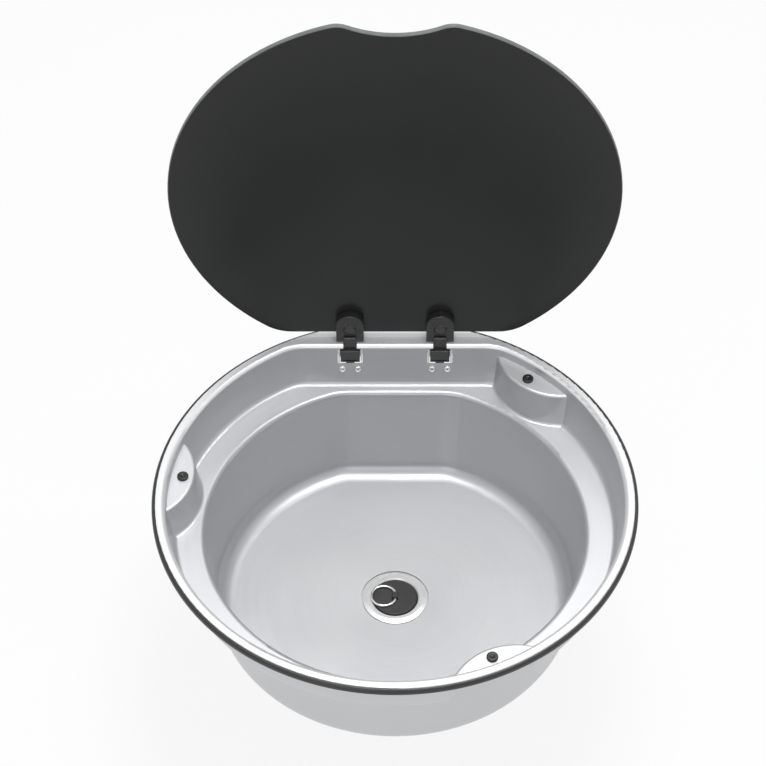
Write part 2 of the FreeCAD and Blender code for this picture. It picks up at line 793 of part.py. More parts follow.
def arched_plate(x, low, inset, front, back):
    """Plate on the glass with a straight lower edge and an arched top."""
    half = clamp_half - inset
    high = clamp_high - inset
    spring = clamp_high - clamp_arch
    face = [
        Vector(x - half, 0, low),
        Vector(x + half, 0, low),
        Vector(x + half, 0, spring),
        Vector(x - half, 0, spring),
    ]
    edges = [
        Part.makeLine(face[0], face[1]),
        Part.makeLine(face[1], face[2]),
        Part.Arc(face[2], Vector(x, 0, high), face[3]).toShape(),
        Part.makeLine(face[3], face[0]),
    ]
    plate = Part.Face(Part.Wire(edges)).extrude(Vector(0, front - back, 0))
    plate.translate(Vector(0, pivot_y - front, pivot_z))
    return plate


def glass_forward():
    """Front and back faces of the open glass, forward of the hinge axis."""
    front = pivot_y - glass_front
    return front, front - glass_thick


def make_clamp_body(x):
    """Arched block over the tang, recessed for the arm, drilled for the clamp bolt."""
    glass_face = glass_forward()[0]
    pad_face = glass_face + pad_thick
    neck_back = pivot_y - slot_back_y + neck_gap
    body = arched_plate(x, clamp_low, 0.0, clamp_front, pad_face)
    front_rim = edges_where(body, lambda e: e.BoundBox.YMax < pivot_y - clamp_front + 1e-4)
    body = body.makeFillet(clamp_round, front_rim)
    clear = neck_half + clamp_clear
    strap_room = across(x, clear, [
        (neck_back - clamp_clear, clamp_low - over),
        (clamp_front + over, clamp_low - over),
        (clamp_front + over, shelf_low + neck_thick + clamp_clear),
        (pad_face + neck_thick + clamp_clear, shelf_low + neck_thick + clamp_clear),
        (pad_face + neck_thick + clamp_clear, tang_top + clamp_clear),
        (pad_face - over, tang_top + clamp_clear),
        (pad_face - over, shelf_low - clamp_clear),
        (neck_back - clamp_clear, shelf_low - clamp_clear),
    ])
    body = body.cut(strap_room)
    body = body.cut(bolt_piece(bolt_head_radius + clamp_clear, clamp_front + over,
                               clamp_front - bolt_recess, x))
    return body.cut(bolt_hole(x, bolt_radius + bolt_gap))


def make_pads(x):
    """Rubber pads on both faces of the glass."""
    front, back = glass_forward()
    pads = []
    for high, low in ((front + pad_thick, front), (back, back - pad_thick)):
        pad = arched_plate(x, pad_low, pad_inset, high, low)
        pads.append(pad.cut(bolt_hole(x, bush_radius + bush_gap)))
    return Part.makeCompound(pads)


def make_bush(x):
    """Nylon bush that keeps the bolt off the glass."""
    front, back = glass_forward()
    bush = bolt_piece(bush_radius, front + pad_thick, back - pad_thick, x)
    return bush.cut(bolt_hole(x, bolt_radius + bolt_gap))


def make_back_plate(x):
    """Arched plate behind the glass, holding the threaded insert."""
    face = glass_forward()[1] - pad_thick
    plate = arched_plate(x, back_low, 0.0, face, face - back_thick)
    rear_rim = edges_where(plate, lambda e: e.BoundBox.YMin > pivot_y - face + back_thick - 1e-4)
    plate = plate.makeFillet(clamp_round, rear_rim)
    return plate.cut(bolt_piece(insert_radius, face + over, face - insert_depth, x))


def make_insert(x):
    face = glass_forward()[1] - pad_thick
    insert = bolt_piece(insert_radius, face, face - insert_depth, x)
    return insert.cut(bolt_hole(x, bolt_radius))


def make_clamp_bolt(x):
    """Low round button head and shank into the insert, with a cross recess."""
    seat = clamp_front - bolt_recess
    end = glass_forward()[1] - pad_thick - insert_depth
    head = bolt_piece(bolt_head_radius, seat + bolt_head_height, seat, x)
    crown = edges_where(head, lambda e: e.BoundBox.YMax < pivot_y - seat - 1)
    head = head.makeFillet(bolt_head_round, crown)
    shank = bolt_piece(bolt_radius, seat, end, x)
    return head.fuse(shank)


# ---- waste ----
def make_waste_flange():
    """Bevelled ring in the floor with a throat, a strainer and a hole for the centre screw."""
    rim_top = drain_z + drain_rim_rise
    ring = revolve([
        (throat_radius, strainer_z),
        (throat_outer, strainer_z),
        (throat_outer, drain_z),
        (drain_rim_radius, drain_z),
        (drain_rim_radius, drain_z + drain_rim_edge),
        (drain_rim_radius - drain_bevel, rim_top),
        (throat_outer, rim_top),
        (throat_radius, rim_top - throat_wall),
    ])
    sieve = cylinder(throat_outer, strainer_thick, z=strainer_z)
    for index in range(strainer_holes):
        turn = 2 * math.pi * index / strainer_holes
        sieve = sieve.cut(cylinder(strainer_hole_radius, 2 * over,
                                   strainer_hole_place * math.cos(turn),
                                   strainer_hole_place * math.sin(turn), strainer_z - over))
    ring = ring.fuse(sieve).removeSplitter()
    return ring.cut(cylinder(centre_screw_radius, 2 * over, z=strainer_z - over))


def make_gasket(z, thick):
    ring = cylinder(gasket_radius, thick, z=z)
    return ring.cut(cylinder(drain_hole_radius, thick + 2 * over, z=z - over))


def make_waste_cup():
    """Cup under the floor, with webs that hold the centre screw and an outlet spigot."""
    cup = revolve([
        (cup_inner, cup_top),
        (cup_collar_radius, cup_top),
        (cup_collar_radius, cup_top - cup_collar_thick),
        (cup_radius, cup_top - cup_collar_thick),
        (cup_radius, cup_low + cup_wall),
        (spigot_radius, cup_low),
        (spigot_radius, spigot_low),
        (spigot_bore, spigot_low),
        (spigot_bore, cup_low + cup_wall),
        (cup_inner, cup_low + 2 * cup_wall),
    ])
    half = 0.5 * web_thick
    reach = cup_inner + half
    webs = [
        cylinder(hub_boss_radius, hub_boss_length, z=hub_low),
        box(-reach, reach, -half, half, hub_low, hub_top - web_thick),
        box(-half, half, -reach, reach, hub_low, hub_top - web_thick),
    ]
    cup = cup.fuse(webs).removeSplitter()
    return cup.cut(cylinder(centre_screw_radius, 4 * over, z=hub_low + web_thick))


def make_centre_screw():
    """Screw through the strainer into the cup, with a slotted head."""
    seat = strainer_z + strainer_thick
    end = hub_low + web_thick
    head = cylinder(centre_screw_head, centre_screw_head_height, z=seat)
    shank = cylinder(centre_screw_radius, seat - end, z=end)
    half = 0.5 * cross_width
    slot = box(-centre_screw_head, centre_screw_head, -half, half,
               screw_top - cross_depth, screw_top + over)
    return head.fuse(shank).cut(slot)


def bent_tube(radius, top, turn_z, tail_start, tail_end):
    """Upright tube that turns through a quarter circle and runs backwards along Y."""
    upright = cylinder(radius, top - turn_z, z=turn_z)
    disc = Part.Face(Part.Wire(Part.makeCircle(radius, Vector(0, 0, turn_z))))
    bend = disc.revolve(Vector(0, elbow_bend, turn_z), Vector(1, 0, 0), 90)
    tail = cylinder(radius, tail_end - tail_start, 0, tail_start, tail_z, Vector(0, 1, 0))
    return upright.fuse([bend, tail]).removeSplitter()


def make_elbow():
    """Elbow with a collar for the union nut and a tail for a hose clip."""
    outer = elbow_bore + elbow_wall
    shape = bent_tube(outer, collar_top, turn_z, elbow_bend, tail_end)
    lip = edges_where(shape, lambda e: e.BoundBox.YMin > tail_end - 1e-4)
    shape = shape.makeChamfer(tail_chamfer, lip)
    shape = shape.fuse(cylinder(spigot_radius, elbow_collar, z=collar_low)).removeSplitter()
    room = bent_tube(elbow_bore, collar_top + over, turn_z, elbow_bend, tail_end + over)
    return shape.cut(room)


def make_union_washer():
    ring = cylinder(spigot_radius, washer_seal_thick, z=collar_top)
    return ring.cut(cylinder(spigot_bore, 2 * over, z=collar_top - over))


def make_union_nut():
    """Many-sided nut that draws the elbow's collar up to the spigot."""
    low = collar_low - nut_lip
    corners = [
        Vector(nut_outer * math.cos(2 * math.pi * index / nut_sides),
               nut_outer * math.sin(2 * math.pi * index / nut_sides), low)
        for index in range(nut_sides + 1)
    ]
    nut = Part.Face(Part.makePolygon(corners)).extrude(Vector(0, 0, nut_height))
    room = cylinder(spigot_radius + nut_gap, nut_height + over, z=collar_low - nut_gap)
    throat = cylinder(elbow_bore + elbow_wall + nut_gap, 2 * over, z=low - over)
    return nut.cut(room).cut(throat)


# ---- plug ----
def make_plug():
    """Disc with a core that carries the seal and a lug for the ring."""
    disc = cylinder(plug_radius, plug_thick, z=plug_top - plug_thick)
    crown = edges_where(disc, lambda e: on_level(e, plug_top))
    disc = disc.makeFillet(plug_round, crown)
    core = cylinder(plug_core_radius, plug_top - plug_thick - plug_under, z=plug_under)
    lug = box(-lug_half_x, lug_half_x, -lug_half_y, lug_half_y,
              plug_top - plug_round, plug_top + lug_height)
    ridges = edges_where(lug, lambda e: e.BoundBox.YLength > lug_half_y
                         and e.BoundBox.ZMin > plug_top)
    lug = lug.makeFillet(lug_round, ridges)
    plug = disc.fuse([core, lug]).removeSplitter()
    hole = cylinder(ring_wire + ring_fit, 2 * lug_half_y + 2 * over, 0, -lug_half_y - over,
                    ring_z, Vector(0, 1, 0))
    return plug.cut(hole)


def make_plug_seal():
    """Rubber sleeve round the core, with lips that meet the throat."""
    top = plug_top - plug_thick
    profile = [(plug_core_radius, top), (plug_core_radius, plug_under)]
    pitch = (top - plug_under) / seal_lips
    groove = plug_seal_radius - seal_groove
    for index in range(seal_lips):
        low = plug_under + index * pitch
        profile.append((groove, low))
        profile.append((plug_seal_radius, low + 0.5 * pitch))
    profile.append((groove, top))
    return revolve(profile)


def make_plug_ring():
    """Open ring of round wire whose ends turn in to the lug."""
    swing = math.degrees(math.acos(ring_centre / ring_radius))
    end_x = ring_radius * math.cos(math.radians(swing))
    end_y = ring_radius * math.sin(math.radians(swing))
    start = Vector(end_x - ring_centre, end_y, ring_z)
    tangent = Vector(-end_y, end_x, 0)
    disc = Part.Face(Part.Wire(Part.makeCircle(ring_wire, start, tangent)))
    ring = disc.revolve(Vector(-ring_centre, 0, ring_z), Vector(0, 0, 1), 2 * (half_turn - swing))
    inner = lug_half_y - ring_pin_reach
    for side in (-1, 1):
        tip = Vector(0, side * inner, ring_z)
        ring = ring.fuse(Part.makeCylinder(ring_wire, end_y - inner, tip, Vector(0, side, 0)))
        ring = ring.fuse(Part.makeSphere(ring_wire, Vector(0, side * end_y, ring_z)))
    return ring.removeSplitter()


# ---- the nodes ----
shapes["basin"] = make_basin()
shapes["rim_seal"] = make_rim_seal()
for place, angle in boss_angles.items():
    shapes["bumper_" + place] = make_bumper(angle)
shapes["lid_glass"] = make_lid_glass()
for name, side in (("left", -1), ("right", 1)):
    x = side * hinge_x
    shapes[name + "_bracket"] = make_bracket(x)
    shapes[name + "_bracket_screws"] = make_bracket_screws(x)
    shapes[name + "_pin"] = make_pin(x, side)
    shapes[name + "_pin_clip"] = make_clip(x, side)
    shapes[name + "_friction_washers"] = make_friction_washers(x)
    shapes[name + "_arm"] = make_arm(x)
    shapes[name + "_clamp_body"] = make_clamp_body(x)
    shapes[name + "_glass_pads"] = make_pads(x)
    shapes[name + "_glass_bush"] = make_bush(x)
    shapes[name + "_clamp_plate"] = make_back_plate(x)
    shapes[name + "_clamp_insert"] = make_insert(x)
    shapes[name + "_clamp_bolt"] = make_clamp_bolt(x)
shapes["waste_flange"] = make_waste_flange()
shapes["waste_gasket_upper"] = make_gasket(seat_z, upper_gasket_thick)
shapes["waste_gasket_lower"] = make_gasket(cup_top, lower_gasket_thick)
shapes["waste_cup"] = make_waste_cup()
shapes["waste_centre_screw"] = make_centre_screw()
shapes["union_washer"] = make_union_washer()
shapes["union_nut"] = make_union_nut()
shapes["waste_elbow"] = make_elbow()
shapes["plug"] = make_plug()
shapes["plug_seal"] = make_plug_seal()
shapes["plug_ring"] = make_plug_ring()

os.makedirs("parts", exist_ok=True)
for node, shape in shapes.items():
    shape.exportStep("parts/" + node + ".step")
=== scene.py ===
import json
import math

import bmesh
import bpy
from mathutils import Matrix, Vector


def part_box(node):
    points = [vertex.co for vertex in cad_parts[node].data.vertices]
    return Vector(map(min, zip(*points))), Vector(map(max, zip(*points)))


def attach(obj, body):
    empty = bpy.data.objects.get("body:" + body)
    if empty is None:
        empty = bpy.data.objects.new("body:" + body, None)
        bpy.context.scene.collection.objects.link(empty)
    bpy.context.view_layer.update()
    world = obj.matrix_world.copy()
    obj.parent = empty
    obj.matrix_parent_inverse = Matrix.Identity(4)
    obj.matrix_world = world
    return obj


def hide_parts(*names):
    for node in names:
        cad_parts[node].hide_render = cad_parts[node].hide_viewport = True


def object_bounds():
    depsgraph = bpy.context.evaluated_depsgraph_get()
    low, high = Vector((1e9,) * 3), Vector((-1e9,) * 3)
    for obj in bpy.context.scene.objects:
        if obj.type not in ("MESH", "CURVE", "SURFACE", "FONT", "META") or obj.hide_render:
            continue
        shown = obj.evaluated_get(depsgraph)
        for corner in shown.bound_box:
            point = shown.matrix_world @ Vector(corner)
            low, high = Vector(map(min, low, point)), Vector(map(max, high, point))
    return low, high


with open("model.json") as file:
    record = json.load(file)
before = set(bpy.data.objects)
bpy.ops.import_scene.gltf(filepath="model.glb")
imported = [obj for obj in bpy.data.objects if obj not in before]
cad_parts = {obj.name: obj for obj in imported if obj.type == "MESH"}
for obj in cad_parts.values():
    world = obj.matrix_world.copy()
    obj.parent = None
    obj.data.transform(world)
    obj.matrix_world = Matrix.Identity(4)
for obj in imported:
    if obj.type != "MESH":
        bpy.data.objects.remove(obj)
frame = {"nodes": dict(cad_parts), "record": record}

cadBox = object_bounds()
nodes = frame["nodes"]
slotOf = {part["node"]: part["material_slot"] for part in frame["record"]["subparts"]}
weldDistance = 0.000001        # metres; points nearer to each other than this become one
print("frame loaded:", len(nodes), "nodes")


def addObject(name, data):
    thing = bpy.data.objects.new(name, data)
    bpy.context.scene.collection.objects.link(thing)
    return thing


# camera, at the angle of the picture
cameraSet = {
    "place": (0.0, -1.4821, 1.7362),     # metres
    "pitch": 46.98,                      # degrees below level
    "lens": 122.19,                      # millimetres, as the sensor
    "sensor": 36.0,
    "shiftX": -0.0157,
}


def makeCamera():
    data = bpy.data.cameras.new("camera")
    data.lens = cameraSet["lens"]
    data.sensor_width = cameraSet["sensor"]
    data.shift_x = cameraSet["shiftX"]
    camera = addObject("camera", data)
    camera.location = cameraSet["place"]
    camera.rotation_euler = (math.radians(90.0 - cameraSet["pitch"]), 0.0, 0.0)
    bpy.context.scene.camera = camera


makeCamera()
bpy.context.scene.view_settings.view_transform = "Standard"
print("camera done")


# small helpers for node trees, used by finishes, forms and world alike
noiseSpan = (0.25, 0.75)       # nearly all of a noise lies in here


def addNode(tree, kind, **values):
    node = tree.nodes.new(kind)
    for key, value in values.items():
        setattr(node, key, value)
    return node


def linkTo(tree, output, node, socket):
    # some nodes have sockets of one name for each kind of data, with a single one in use
    if isinstance(socket, str):
        socket = next(i for i, s in enumerate(node.inputs) if s.name == socket and s.enabled)
    tree.links.new(output, node.inputs[socket])


def clearTree(owner, outputKind):
    owner.use_nodes = True
    tree = owner.node_tree
    tree.nodes.clear()
    return tree, addNode(tree, outputKind)


def newMaterial(name):
    material = bpy.data.materials.new(name)
    tree, output = clearTree(material, "ShaderNodeOutputMaterial")
    shader = addNode(tree, "ShaderNodeBsdfPrincipled")
    linkTo(tree, shader.outputs["BSDF"], output, "Surface")
    return material, tree, shader


def objectPlace(tree):
    return addNode(tree, "ShaderNodeTexCoord").outputs["Object"]


def splitPlace(tree, place):
    node = addNode(tree, "ShaderNodeSeparateXYZ")
    linkTo(tree, place, node, "Vector")
    return [node.outputs[axis] for axis in "XYZ"]


def joinPlace(tree, x, y, z):
    node = addNode(tree, "ShaderNodeCombineXYZ")
    for axis, value in zip("XYZ", (x, y, z)):
        linkTo(tree, value, node, axis)
    return node.outputs["Vector"]


def maths(tree, operation, first, second=None):
    node = addNode(tree, "ShaderNodeMath", operation=operation)
    linkTo(tree, first, node, 0)
    if isinstance(second, float):
        node.inputs[1].default_value = second
    elif second is not None:
        linkTo(tree, second, node, 1)
    return node.outputs["Value"]


def ramp(tree, value, start, end, low=0.0, high=1.0, kind="LINEAR"):
    node = addNode(tree, "ShaderNodeMapRange", interpolation_type=kind)
    node.inputs["From Min"].default_value = start
    node.inputs["From Max"].default_value = end
    node.inputs["To Min"].default_value = low
    node.inputs["To Max"].default_value = high
    linkTo(tree, value, node, "Value")
    return node.outputs["Result"]


def roundPlace(tree, lines, drift):
    # radius and height run fast and the angle slowly, so a noise there makes lines round Z
    x, y, z = splitPlace(tree, objectPlace(tree))
    across = maths(tree, "MULTIPLY", x, x)
    along = maths(tree, "MULTIPLY", y, y)
    radius = maths(tree, "SQRT", maths(tree, "ADD", across, along))
    return joinPlace(
        tree,
        maths(tree, "MULTIPLY", radius, lines),
        maths(tree, "MULTIPLY", z, lines),
        maths(tree, "MULTIPLY", maths(tree, "ADD", x, y), drift),
    )


def noise(tree, place, scale, detail, roughness=0.5):
    node = addNode(tree, "ShaderNodeTexNoise")
    node.inputs["Scale"].default_value = scale
    node.inputs["Detail"].default_value = detail
    node.inputs["Roughness"].default_value = roughness
    linkTo(tree, place, node, "Vector")
    return node.outputs["Fac"]


def between(tree, factor, low, high):
    return ramp(tree, factor, *noiseSpan, low, high)


def resultOf(node):
    return next(socket for socket in node.outputs if socket.enabled)


def tint(tree, factor, dark, light):
    node = addNode(tree, "ShaderNodeMix", data_type="RGBA")
    first, second = [socket for socket in node.inputs if socket.enabled][1:]
    first.default_value = (*dark, 1.0)
    second.default_value = (*light, 1.0)
    linkTo(tree, between(tree, factor, 0.0, 1.0), node, "Factor")
    return resultOf(node)


def blend(tree, factor, first, second):
    node = addNode(tree, "ShaderNodeMix", data_type="RGBA")
    linkTo(tree, factor, node, "Factor")
    linkTo(tree, first, node, "A")
    linkTo(tree, second, node, "B")
    return resultOf(node)


def bump(tree, height, strength, distance):
    node = addNode(tree, "ShaderNodeBump")
    node.inputs["Strength"].default_value = strength
    node.inputs["Distance"].default_value = distance
    linkTo(tree, height, node, "Height")
    return node.outputs["Normal"]


# basin steel; each tone is a dark and a light colour
steelSet = {
    "inside": ((0.71, 0.72, 0.74), (0.76, 0.77, 0.785)),
    "wall": ((0.43, 0.435, 0.45), (0.48, 0.485, 0.5)),       # drawn walls inside, painted shade: a darker tone because they face sideways, away from the overhead light
    "outside": ((0.57, 0.575, 0.59), (0.62, 0.625, 0.64)),   # left as it came from the press
    "rim": ((0.8, 0.81, 0.825), (0.86, 0.865, 0.875)),       # flange: painted light, a brighter tone for the top that faces the overhead light; the polishing lines stay in it
    "rimFrom": 0.002,          # metres above the worktop
    "rimFull": 0.0055,
    "facingFrom": 0.1,         # how squarely a wall faces the axis, as a cosine
    "facingFull": 0.75,
    "metallic": 0.45,
    "rough": (0.3, 0.38),
    "lines": 900.0,            # polishing lines to the metre, across the lines
    "drift": 14.0,             # how fast the lines change along their length
    "lineDetail": 2.0,
    "lineShare": 0.45,         # part of the lines in the tone; the clouds have the rest
    "clouds": 8.0,
    "cloudDetail": 3.0,
    "cloudShare": 0.55,
    "bump": 0.02,
    "bumpDepth": 0.00005,
}


def facesInwards(tree, way):
    # 1 on upright faces that look at the Z axis, or with way at -1 away from it, 0 on level ones
    texture = addNode(tree, "ShaderNodeTexCoord")
    level = addNode(tree, "ShaderNodeVectorMath", operation="MULTIPLY")
    linkTo(tree, texture.outputs["Object"], level, 0)
    level.inputs[1].default_value = (-way, -way, 0.0)
    inwards = addNode(tree, "ShaderNodeVectorMath", operation="NORMALIZE")
    linkTo(tree, level.outputs["Vector"], inwards, 0)
    facing = addNode(tree, "ShaderNodeVectorMath", operation="DOT_PRODUCT")
    linkTo(tree, inwards.outputs["Vector"], facing, 0)
    linkTo(tree, texture.outputs["Normal"], facing, 1)
    return ramp(tree, facing.outputs["Value"], steelSet["facingFrom"], steelSet["facingFull"],
                kind="SMOOTHSTEP")


def satinSteel():
    # pressed and polished sheet: faint lines round the bowl, and soft clouds; painted shade darkens
    # the walls inside and painted light brightens the flange
    material, tree, shader = newMaterial("satinSteel")
    place = roundPlace(tree, steelSet["lines"], steelSet["drift"])
    lines = noise(tree, place, 1.0, steelSet["lineDetail"])
    clouds = noise(tree, objectPlace(tree), steelSet["clouds"], steelSet["cloudDetail"])
    mixed = maths(tree, "ADD",
                  maths(tree, "MULTIPLY", lines, steelSet["lineShare"]),
                  maths(tree, "MULTIPLY", clouds, steelSet["cloudShare"]))
    colour = tint(tree, mixed, *steelSet["inside"])
    # painted shade: upright faces inside, which look at the axis, take the darker wall tone
    colour = blend(tree, facesInwards(tree, 1.0), colour, tint(tree, mixed, *steelSet["wall"]))
    colour = blend(tree, facesInwards(tree, -1.0), colour, tint(tree, mixed, *steelSet["outside"]))
    # painted light: above this height the flange takes the brighter tone
    height = splitPlace(tree, objectPlace(tree))[2]
    above = ramp(tree, height, steelSet["rimFrom"], steelSet["rimFull"], kind="SMOOTHSTEP")
    colour = blend(tree, above, colour, tint(tree, lines, *steelSet["rim"]))
    linkTo(tree, colour, shader, "Base Color")
    linkTo(tree, between(tree, mixed, *steelSet["rough"]), shader, "Roughness")
    linkTo(tree, bump(tree, lines, steelSet["bump"], steelSet["bumpDepth"]), shader, "Normal")
    shader.inputs["Metallic"].default_value = steelSet["metallic"]
    return material


# face of the tinted glass: even and dark, with a breath of cloud in its colour and gloss
smokedSet = {
    "colours": ((0.0175, 0.0185, 0.0175), (0.0215, 0.0225, 0.0215)),
    "rough": (0.26, 0.32),
    "clouds": 5.0,
    "detail": 3.0,
    "specular": 0.28,
}


def smokedGlass():
    material, tree, shader = newMaterial("smokedGlass")
    clouds = noise(tree, objectPlace(tree), smokedSet["clouds"], smokedSet["detail"])
    linkTo(tree, tint(tree, clouds, *smokedSet["colours"]), shader, "Base Color")
    linkTo(tree, between(tree, clouds, *smokedSet["rough"]), shader, "Roughness")
    shader.inputs["Specular IOR Level"].default_value = smokedSet["specular"]
    return material


# all other finishes: clouds shift the colour, and a fine grain shifts the gloss and the surface
grainSet = {
    "clouds": 60.0,            # patches to the metre; "grain" below counts the same way
    "roughness": 0.6,
}
metalSet = {"detail": 3.0, "bump": 0.03, "bumpDepth": 0.00005, "metallic": 0.9}
mouldedSet = {"detail": 4.0, "bumpDepth": 0.0002, "metallic": 0.0}


def greys(dark, light, warm=0.0):
    return tuple((level + warm, level, level - warm) for level in (dark, light))


metals = {
    "bracket_steel": {"colours": greys(0.78, 0.86), "rough": (0.24, 0.34), "grain": 1500.0},
    "pin_steel": {"colours": greys(0.62, 0.7), "rough": (0.2, 0.3), "grain": 1500.0},
    "screw_steel": {"colours": greys(0.78, 0.86), "rough": (0.16, 0.24), "grain": 1500.0,
                    "metallic": 0.75},
    "insert_brass": {"colours": ((0.58, 0.4, 0.16), (0.7, 0.5, 0.24)), "rough": (0.25, 0.35),
                     "grain": 1500.0},
    "waste_chrome": {"colours": greys(0.86, 0.92), "rough": (0.26, 0.32), "grain": 40.0,
                     "metallic": 0.5},
    "ring_chrome": {"colours": greys(0.9, 0.95), "rough": (0.1, 0.16), "grain": 400.0,
                    "metallic": 0.8},
}
moulded = {
    "seal_rubber": {"colours": greys(0.012, 0.02), "rough": (0.34, 0.46), "grain": 500.0,
                    "bump": 0.05},
    "bumper_rubber": {"colours": greys(0.008, 0.014), "rough": (0.3, 0.42), "grain": 900.0,
                      "bump": 0.05},
    "hinge_black": {"colours": greys(0.022, 0.034, 0.001), "rough": (0.26, 0.36), "grain": 1200.0,
                    "bump": 0.1},
    "clamp_black": {"colours": greys(0.014, 0.022), "rough": (0.24, 0.34), "grain": 1500.0,
                    "bump": 0.1},
    "bolt_black": {"colours": greys(0.02, 0.03), "rough": (0.2, 0.28), "grain": 1500.0, "bump": 0.05},
    "nylon": {"colours": greys(0.72, 0.78, 0.02), "rough": (0.4, 0.5), "grain": 700.0, "bump": 0.1},
    "pad_rubber": {"colours": greys(0.008, 0.012), "rough": (0.5, 0.6), "grain": 700.0, "bump": 0.2},
    "gasket_rubber": {"colours": greys(0.02, 0.03), "rough": (0.6, 0.7), "grain": 700.0, "bump": 0.2},
    "waste_plastic": {"colours": greys(0.02, 0.03), "rough": (0.4, 0.5), "grain": 500.0, "bump": 0.3},
    "nut_plastic": {"colours": greys(0.026, 0.036), "rough": (0.4, 0.5), "grain": 500.0, "bump": 0.3},
    "plug_plastic": {"colours": greys(0.02, 0.032), "rough": (0.42, 0.55), "grain": 900.0,
                     "bump": 0.3},
    "plug_rubber": {"colours": greys(0.01, 0.018), "rough": (0.5, 0.6), "grain": 700.0, "bump": 0.2},
}


def grainedFinish(name, values):
    material, tree, shader = newMaterial(name)
    place = objectPlace(tree)
    clouds = noise(tree, place, grainSet["clouds"], values["detail"])
    fine = noise(tree, place, values["grain"], values["detail"], grainSet["roughness"])
    linkTo(tree, tint(tree, clouds, *values["colours"]), shader, "Base Color")
    linkTo(tree, between(tree, fine, *values["rough"]), shader, "Roughness")
    linkTo(tree, bump(tree, fine, values["bump"], values["bumpDepth"]), shader, "Normal")
    shader.inputs["Metallic"].default_value = values["metallic"]
    return material


def camelName(slot):
    first, *others = slot.split("_")
    return first + "".join(word.capitalize() for word in others)


finishes = {"basin_steel": satinSteel(), "tinted_glass": smokedGlass()}
for common, rows in ((metalSet, metals), (mouldedSet, moulded)):
    for slot, values in rows.items():
        finishes[slot] = grainedFinish(camelName(slot), {**common, **values})
for name, node in nodes.items():
    node.data.materials.clear()
    node.data.materials.append(finishes[slotOf[name]])
print("finishes done:", len(finishes))


# turned forms, made by geometry nodes: a row of points is turned about Z and set at each place
turnedInputs = {
    "Profile": "NodeSocketGeometry",
    "Places": "NodeSocketObject",
    "Sides": "NodeSocketInt",
    "Rows": "NodeSocketInt",
    "Turn": "NodeSocketRotation",
    "Cross Size": "NodeSocketVector",
    "Cross Height": "NodeSocketVector",
    "Material": "NodeSocketMaterial",
}


def turnedTree(name, cross):
    tree = bpy.data.node_groups.new(name, "GeometryNodeTree")
    for label, kind in turnedInputs.items():
        tree.interface.new_socket(label, in_out="INPUT", socket_type=kind)
    tree.interface.new_socket("Geometry", in_out="OUTPUT", socket_type="NodeSocketGeometry")
    start = addNode(tree, "NodeGroupInput")
    end = addNode(tree, "NodeGroupOutput")
    # a flat grid holds the angle in X and the row of the profile in Y, from -0.5 to 0.5
    grid = addNode(tree, "GeometryNodeMeshGrid")
    grid.inputs["Size X"].default_value = 2.0 * math.pi
    grid.inputs["Size Y"].default_value = 1.0
    linkTo(tree, maths(tree, "ADD", start.outputs["Sides"], 1.0), grid, "Vertices X")
    linkTo(tree, start.outputs["Rows"], grid, "Vertices Y")
    position = addNode(tree, "GeometryNodeInputPosition").outputs["Position"]
    angle, share, _ = splitPlace(tree, position)
    last = maths(tree, "SUBTRACT", start.outputs["Rows"], 1.0)
    row = maths(tree, "MULTIPLY", maths(tree, "ADD", share, 0.5), last)
    sample = addNode(tree, "GeometryNodeSampleIndex", data_type="FLOAT_VECTOR", domain="POINT")
    linkTo(tree, start.outputs["Profile"], sample, "Geometry")
    linkTo(tree, position, sample, "Value")
    linkTo(tree, maths(tree, "ROUND", row), sample, "Index")
    radius, _, height = splitPlace(tree, sample.outputs["Value"])
    turned = joinPlace(
        tree,
        maths(tree, "MULTIPLY", radius, maths(tree, "COSINE", angle)),
        maths(tree, "MULTIPLY", radius, maths(tree, "SINE", angle)),
        height,
    )
    shaped = addNode(tree, "GeometryNodeSetPosition")
    linkTo(tree, grid.outputs["Mesh"], shaped, "Geometry")
    linkTo(tree, turned, shaped, "Position")
    closed = addNode(tree, "GeometryNodeMergeByDistance")
    closed.inputs["Distance"].default_value = weldDistance
    linkTo(tree, shaped.outputs["Geometry"], closed, "Geometry")
    form = closed.outputs["Geometry"]
    if cross:
        form = crossCut(tree, start, form)
    info = addNode(tree, "GeometryNodeObjectInfo")
    linkTo(tree, start.outputs["Places"], info, "Object")
    spread = addNode(tree, "GeometryNodeInstanceOnPoints")
    linkTo(tree, info.outputs["Geometry"], spread, "Points")
    linkTo(tree, form, spread, "Instance")
    linkTo(tree, start.outputs["Turn"], spread, "Rotation")
    real = addNode(tree, "GeometryNodeRealizeInstances")
    linkTo(tree, spread.outputs["Instances"], real, "Geometry")
    finish = addNode(tree, "GeometryNodeSetMaterial")
    linkTo(tree, real.outputs["Geometry"], finish, "Geometry")
    linkTo(tree, start.outputs["Material"], finish, "Material")
    linkTo(tree, finish.outputs["Geometry"], end, "Geometry")
    return tree


def crossCut(tree, start, form):
    # two bars, a quarter turn apart, cut into the top
    cut = addNode(tree, "GeometryNodeMeshBoolean", operation="DIFFERENCE")
    linkTo(tree, form, cut, "Mesh 1")
    for angle in (0.25 * math.pi, 0.75 * math.pi):
        bar = addNode(tree, "GeometryNodeMeshCube")
        linkTo(tree, start.outputs["Cross Size"], bar, "Size")
        move = addNode(tree, "GeometryNodeTransform")
        move.inputs["Rotation"].default_value = (0.0, 0.0, angle)
        linkTo(tree, start.outputs["Cross Height"], move, "Translation")
        linkTo(tree, bar.outputs["Mesh"], move, "Geometry")
        linkTo(tree, move.outputs["Geometry"], cut, "Mesh 2")
    return cut.outputs["Mesh"]


def pointObject(name, points):
    mesh = bpy.data.meshes.new(name)
    mesh.from_pydata(points, [], [])
    return addObject(name, mesh)


def setSharp(mesh, degrees):
    mesh.shade_smooth()
    mesh.set_sharp_from_angle(angle=math.radians(degrees))


